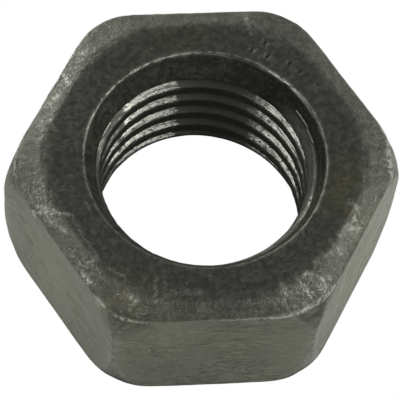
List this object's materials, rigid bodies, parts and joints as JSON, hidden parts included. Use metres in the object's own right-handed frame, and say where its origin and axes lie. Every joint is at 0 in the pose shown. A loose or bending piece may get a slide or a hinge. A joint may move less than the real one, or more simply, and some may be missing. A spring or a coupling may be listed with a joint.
{
  "type": "hex nut",
  "caption": "Hexagonal forged steel nut: coarse right-hand internal thread, deep countersinks, bevelled bearing faces and chamfered corners.",
  "frame": {"origin": "centre of the thread on the lower bearing face", "axes": "+Z along the thread axis from the lower to the upper bearing face; +X through one corner of the hexagon; -Y and +Y square to two opposite flats"},
  "size_m": [0.0532, 0.046, 0.0227],
  "materials": {
    "black_oxide_steel": "dark grey oxide over forged steel, satin, worn bright on edges and thread"
  },
  "bodies": {
    "root": {"hex_nut": "black_oxide_steel"}
  },
  "joints": []
}
